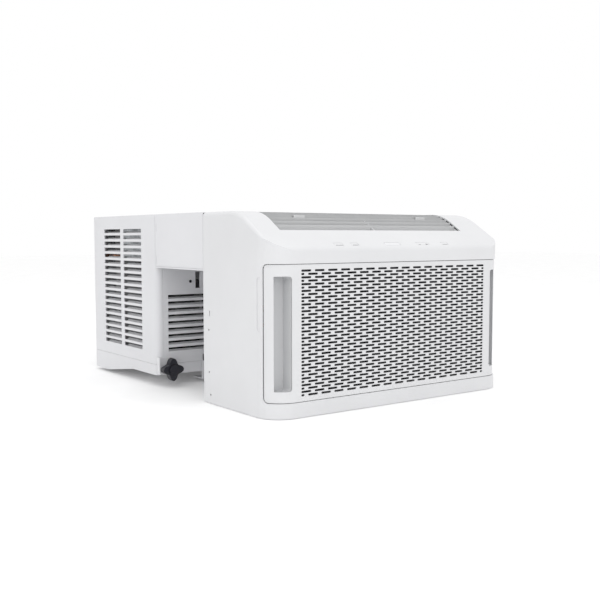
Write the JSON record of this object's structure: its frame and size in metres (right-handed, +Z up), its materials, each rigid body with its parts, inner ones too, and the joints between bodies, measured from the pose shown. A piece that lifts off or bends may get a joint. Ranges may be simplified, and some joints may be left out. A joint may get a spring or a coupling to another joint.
{
  "type": "window air conditioner",
  "caption": "Saddle-type window air conditioner: a room section with a tilting grille and a sloping top discharge, a hollow bridge over the sill, and a louvred outdoor section.",
  "frame": {"origin": "centre of the bridge's underside, the flat face that rests on the window sill", "axes": "+Z up, +Y towards outdoors, so -Y faces the room; +X to the right for someone facing the grille"},
  "size_m": [0.56, 0.7265, 0.346],
  "materials": {
    "white_plastic": "satin moulded plastic with a fine texture",
    "white_sheet": "powder-coated sheet steel",
    "grey_plastic": "matt moulded plastic",
    "vent_plastic": "matt moulded plastic",
    "black_plastic": "matt moulded plastic with a fine texture",
    "display_gloss": "gloss translucent white",
    "filter_plastic": "woven filter mesh in a moulded frame",
    "coil_aluminium": "mill-finish fins",
    "copper_tube": "drawn copper tube",
    "galvanised_steel": "galvanised sheet",
    "black_enamel": "gloss black enamel",
    "black_rubber": "moulded rubber",
    "board_green": "solder-masked circuit board"
  },
  "bodies": {
    "cabinet": {"accumulator": "black_enamel", "base_pan": "white_sheet", "base_tray": "white_plastic", "blower_housing": "vent_plastic", "blower_motor": "galvanised_steel", "bridge_cover": "white_sheet", "bridge_tray": "white_sheet", "compressor": "black_enamel", "compressor_mount_1": "black_rubber", "compressor_mount_2": "black_rubber", "compressor_mount_3": "black_rubber", "condenser_coil": "coil_aluminium", "control_board": "board_green", "cord_gland": "black_rubber", "discharge_grille": "vent_plastic", "display_window": "display_gloss", "drain_pan": "grey_plastic", "evaporator_coil": "coil_aluminium", "fan_motor": "galvanised_steel", "fan_shroud": "grey_plastic", "front_frame": "white_plastic", "inverter_box": "galvanised_steel", "level_bracket_left": "white_sheet", "level_bracket_right": "white_sheet", "liquid_line": "copper_tube", "motor_bracket": "galvanised_steel", "outdoor_cabinet": "white_sheet", "outdoor_front_wall": "white_sheet", "rear_case": "white_sheet", "rear_grille": "white_sheet", "stand_leg_left": "white_sheet", "stand_leg_right": "white_sheet", "suction_line": "copper_tube"},
    "tilt_panel": {"front_panel": "white_plastic", "panel_grille": "white_plastic", "grip_pocket_left": "grey_plastic", "grip_pocket_right": "grey_plastic", "air_filter": "filter_plastic"},
    "deflector_bar_left": {"deflector_bar_left": "vent_plastic"},
    "deflector_left_1": {"deflector_left_1": "vent_plastic"},
    "deflector_left_2": {"deflector_left_2": "vent_plastic"},
    "deflector_left_3": {"deflector_left_3": "vent_plastic"},
    "deflector_left_4": {"deflector_left_4": "vent_plastic"},
    "deflector_left_5": {"deflector_left_5": "vent_plastic"},
    "deflector_bar_right": {"deflector_bar_right": "vent_plastic"},
    "deflector_right_1": {"deflector_right_1": "vent_plastic"},
    "deflector_right_2": {"deflector_right_2": "vent_plastic"},
    "deflector_right_3": {"deflector_right_3": "vent_plastic"},
    "deflector_right_4": {"deflector_right_4": "vent_plastic"},
    "deflector_right_5": {"deflector_right_5": "vent_plastic"},
    "button_power": {"button_power": "white_plastic"},
    "button_timer": {"button_timer": "white_plastic"},
    "button_mode": {"button_mode": "white_plastic"},
    "temperature_rocker": {"temperature_rocker": "white_plastic"},
    "blower_wheel": {"blower_wheel": "black_plastic"},
    "outdoor_fan": {"outdoor_fan": "black_plastic"},
    "wear_pad_left": {"wear_pad_left": "black_plastic"},
    "level_knob_left": {"level_knob_left": "black_plastic"},
    "wear_pad_right": {"wear_pad_right": "black_plastic"},
    "level_knob_right": {"level_knob_right": "black_plastic"}
  },
  "joints": [
    {"name": "front_panel_hinge", "type": "hinge", "parent": "cabinet", "child": "tilt_panel", "pos_m": [0, -0.3145, -0.2115], "axis": [1, 0, 0], "range_deg": [0, 55]},
    {"name": "deflector_bar_left_slide", "type": "slide", "parent": "cabinet", "child": "deflector_bar_left", "axis": [1, 0, 0], "range_m": [-0.0076, 0.0076]},
    {"name": "deflector_left_1_hinge", "type": "hinge", "parent": "cabinet", "child": "deflector_left_1", "pos_m": [-0.205, -0.185, 0.046], "axis": [0, 1, 0], "range_deg": [-25, 25]},
    {"name": "deflector_left_2_hinge", "type": "hinge", "parent": "cabinet", "child": "deflector_left_2", "pos_m": [-0.165, -0.185, 0.046], "axis": [0, 1, 0], "range_deg": [-25, 25]},
    {"name": "deflector_left_3_hinge", "type": "hinge", "parent": "cabinet", "child": "deflector_left_3", "pos_m": [-0.125, -0.185, 0.046], "axis": [0, 1, 0], "range_deg": [-25, 25]},
    {"name": "deflector_left_4_hinge", "type": "hinge", "parent": "cabinet", "child": "deflector_left_4", "pos_m": [-0.085, -0.185, 0.046], "axis": [0, 1, 0], "range_deg": [-25, 25]},
    {"name": "deflector_left_5_hinge", "type": "hinge", "parent": "cabinet", "child": "deflector_left_5", "pos_m": [-0.045, -0.185, 0.046], "axis": [0, 1, 0], "range_deg": [-25, 25]},
    {"name": "deflector_bar_right_slide", "type": "slide", "parent": "cabinet", "child": "deflector_bar_right", "axis": [1, 0, 0], "range_m": [-0.0076, 0.0076]},
    {"name": "deflector_right_1_hinge", "type": "hinge", "parent": "cabinet", "child": "deflector_right_1", "pos_m": [0.02, -0.185, 0.046], "axis": [0, 1, 0], "range_deg": [-25, 25]},
    {"name": "deflector_right_2_hinge", "type": "hinge", "parent": "cabinet", "child": "deflector_right_2", "pos_m": [0.06, -0.185, 0.046], "axis": [0, 1, 0], "range_deg": [-25, 25]},
    {"name": "deflector_right_3_hinge", "type": "hinge", "parent": "cabinet", "child": "deflector_right_3", "pos_m": [0.1, -0.185, 0.046], "axis": [0, 1, 0], "range_deg": [-25, 25]},
    {"name": "deflector_right_4_hinge", "type": "hinge", "parent": "cabinet", "child": "deflector_right_4", "pos_m": [0.14, -0.185, 0.046], "axis": [0, 1, 0], "range_deg": [-25, 25]},
    {"name": "deflector_right_5_hinge", "type": "hinge", "parent": "cabinet", "child": "deflector_right_5", "pos_m": [0.18, -0.185, 0.046], "axis": [0, 1, 0], "range_deg": [-25, 25]},
    {"name": "button_power_press", "type": "slide", "parent": "cabinet", "child": "button_power", "axis": [0, 0.5299, -0.848], "range_m": [0, 0.001], "stiffness_N_per_m": 400},
    {"name": "button_timer_press", "type": "slide", "parent": "cabinet", "child": "button_timer", "axis": [0, 0.5299, -0.848], "range_m": [0, 0.001], "stiffness_N_per_m": 400},
    {"name": "button_mode_press", "type": "slide", "parent": "cabinet", "child": "button_mode", "axis": [0, 0.5299, -0.848], "range_m": [0, 0.001], "stiffness_N_per_m": 400},
    {"name": "temperature_rocker_tilt", "type": "hinge", "parent": "cabinet", "child": "temperature_rocker", "pos_m": [0.063, -0.30488, 0.04512], "axis": [0, 0.848, 0.5299], "range_deg": [-3, 3], "stiffness_Nm_per_rad": 0.05},
    {"name": "blower_spin", "type": "hinge", "parent": "cabinet", "child": "blower_wheel", "pos_m": [-0.0125, -0.185, -0.02], "axis": [1, 0, 0], "continuous": true},
    {"name": "outdoor_fan_spin", "type": "hinge", "parent": "cabinet", "child": "outdoor_fan", "pos_m": [0.07, 0.331, -0.055], "axis": [0, 1, 0], "continuous": true},
    {"name": "level_knob_left_turn", "type": "hinge", "parent": "wear_pad_left", "child": "level_knob_left", "pos_m": [-0.2555, 0.076, -0.2042], "axis": [0, -1, 0], "range_deg": [0, 2880]},
    {"name": "wear_pad_left_advance", "type": "slide", "parent": "cabinet", "child": "wear_pad_left", "axis": [0, -1, 0], "range_m": [0, 0.0241]},
    {"name": "level_knob_right_turn", "type": "hinge", "parent": "wear_pad_right", "child": "level_knob_right", "pos_m": [0.2555, 0.076, -0.2042], "axis": [0, -1, 0], "range_deg": [0, 2880]},
    {"name": "wear_pad_right_advance", "type": "slide", "parent": "cabinet", "child": "wear_pad_right", "axis": [0, -1, 0], "range_m": [0, 0.0241]}
  ],
  "couplings": [
    {"joint": "deflector_left_1_hinge", "follows": "deflector_bar_left_slide", "rad_per_m": 55.556},
    {"joint": "deflector_left_2_hinge", "follows": "deflector_bar_left_slide", "rad_per_m": 55.556},
    {"joint": "deflector_left_3_hinge", "follows": "deflector_bar_left_slide", "rad_per_m": 55.556},
    {"joint": "deflector_left_4_hinge", "follows": "deflector_bar_left_slide", "rad_per_m": 55.556},
    {"joint": "deflector_left_5_hinge", "follows": "deflector_bar_left_slide", "rad_per_m": 55.556},
    {"joint": "deflector_right_1_hinge", "follows": "deflector_bar_right_slide", "rad_per_m": 55.556},
    {"joint": "deflector_right_2_hinge", "follows": "deflector_bar_right_slide", "rad_per_m": 55.556},
    {"joint": "deflector_right_3_hinge", "follows": "deflector_bar_right_slide", "rad_per_m": 55.556},
    {"joint": "deflector_right_4_hinge", "follows": "deflector_bar_right_slide", "rad_per_m": 55.556},
    {"joint": "deflector_right_5_hinge", "follows": "deflector_bar_right_slide", "rad_per_m": 55.556},
    {"joint": "wear_pad_left_advance", "follows": "level_knob_left_turn", "m_per_rad": 0.00047746},
    {"joint": "wear_pad_right_advance", "follows": "level_knob_right_turn", "m_per_rad": 0.00047746}
  ]
}
